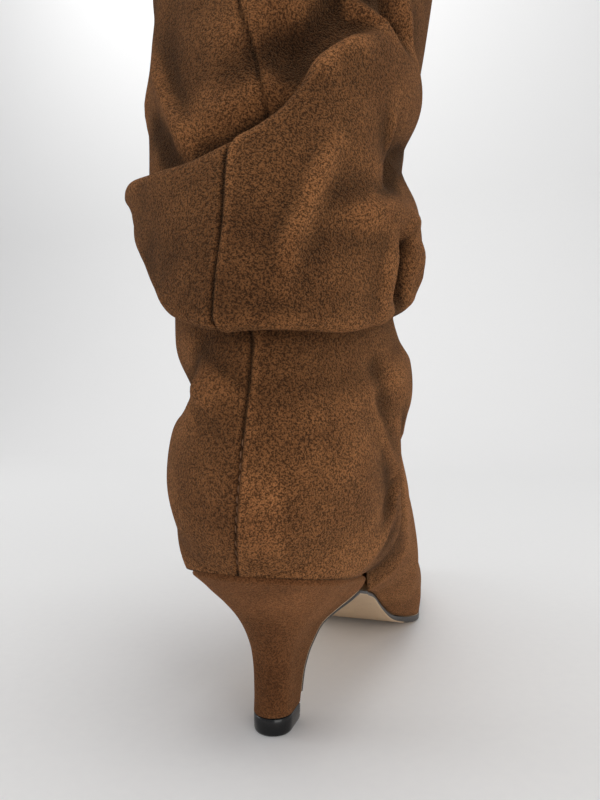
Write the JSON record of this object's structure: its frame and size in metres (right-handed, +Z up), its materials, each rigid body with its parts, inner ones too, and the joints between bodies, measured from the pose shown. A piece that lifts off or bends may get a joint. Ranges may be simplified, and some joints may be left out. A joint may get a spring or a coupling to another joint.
{
  "type": "slouch boot",
  "caption": "Mid-height suede slouch boot for the right foot, with a pushed-down shaft, pointed toe, cone heel and leather sole.",
  "frame": {"origin": "on the floor, at the middle of the heel tip's rounded floor face", "axes": "+Z up from the floor to the collar, +Y forward to the toe, +X to the outer side of the right foot"},
  "size_m": [0.1125, 0.2664, 0.3],
  "materials": {
    "suede": "brown suede with a short nap",
    "sole_leather": "natural leather sole with a dark edge",
    "board": "smooth insole lining",
    "tip": "glossy black"
  },
  "bodies": {
    "root": {"upper": "suede", "outsole": "sole_leather", "insole": "board", "heel": "suede", "heel_tip": "tip"}
  },
  "joints": []
}
